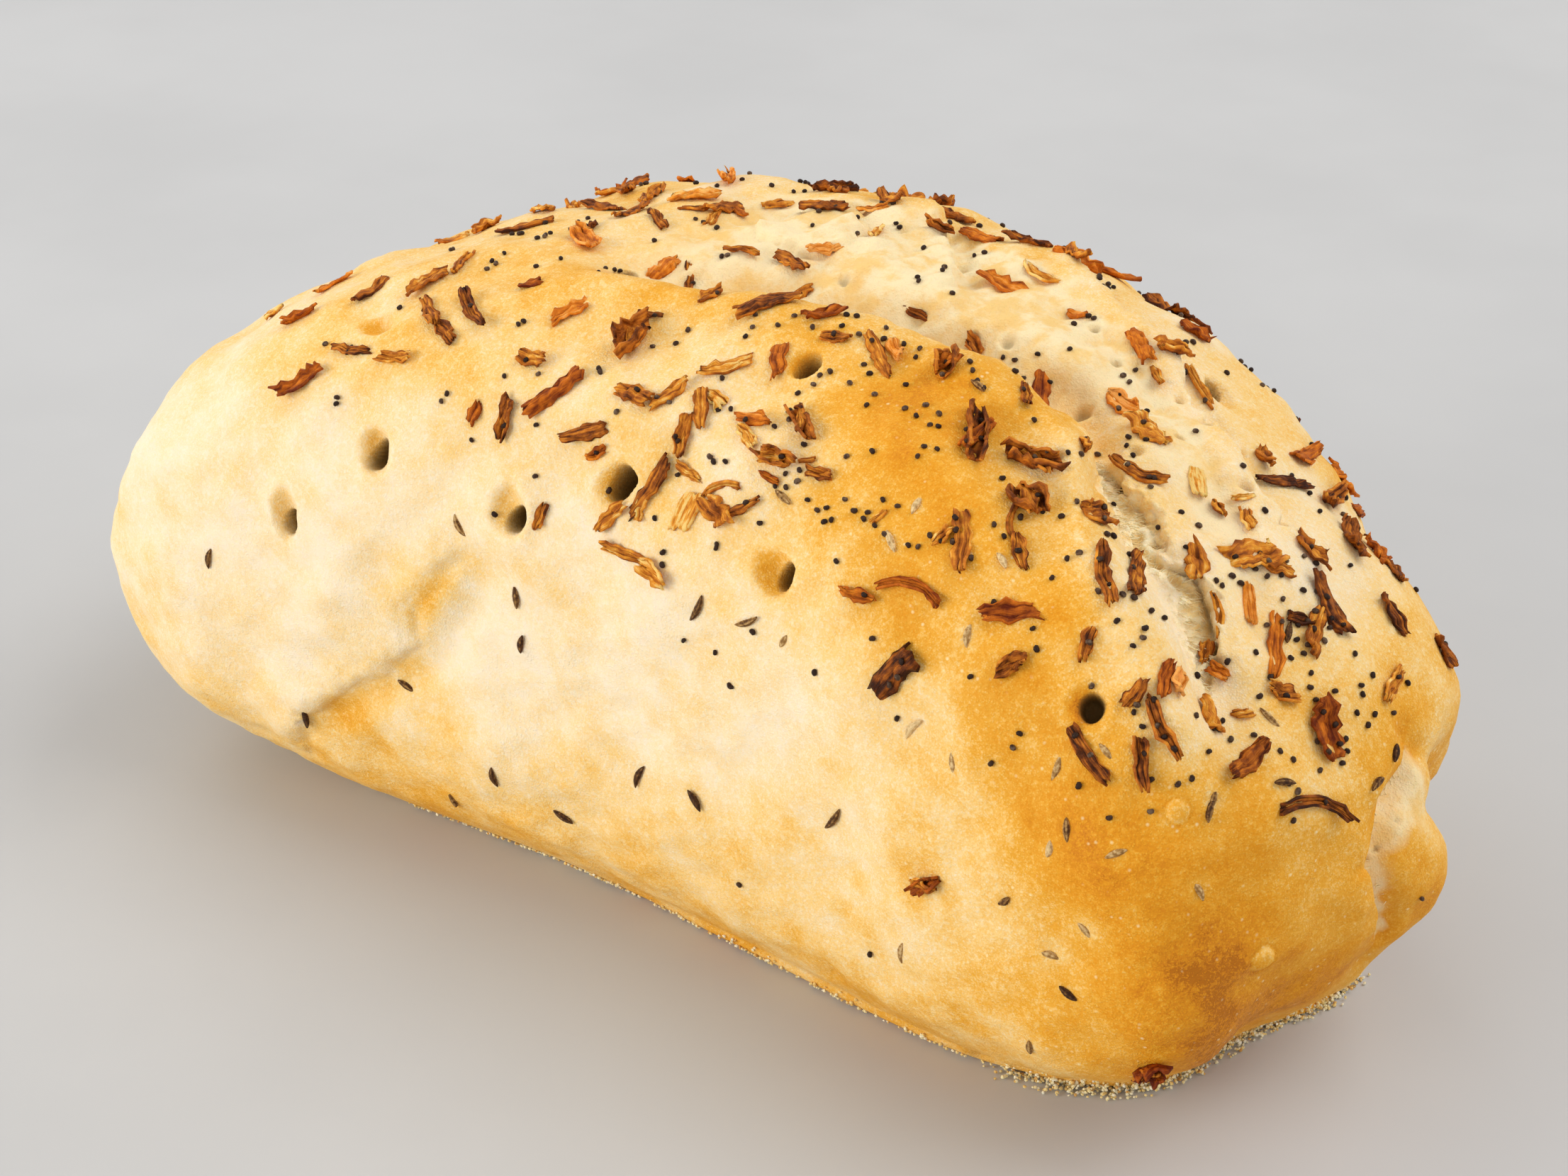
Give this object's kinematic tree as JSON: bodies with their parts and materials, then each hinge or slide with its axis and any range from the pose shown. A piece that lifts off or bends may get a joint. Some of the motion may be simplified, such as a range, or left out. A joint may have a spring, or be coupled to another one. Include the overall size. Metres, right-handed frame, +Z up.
{
  "type": "onion rye bread loaf",
  "caption": "Whole oval hearth loaf with a split back, pricked crust and baked-on dried onion, poppy and caraway; stands on its flat base.",
  "frame": {"origin": "middle of the bounding box in plan, on the flat base", "axes": "+X along the loaf to its broad end, +Z up, the smooth long flank faces -Y and the split back leans to +Y"},
  "size_m": [0.2738, 0.1548, 0.1182],
  "materials": {
    "loaf": "golden baked crust, matt"
  },
  "bodies": {
    "root": {"loaf": "loaf"}
  },
  "joints": []
}
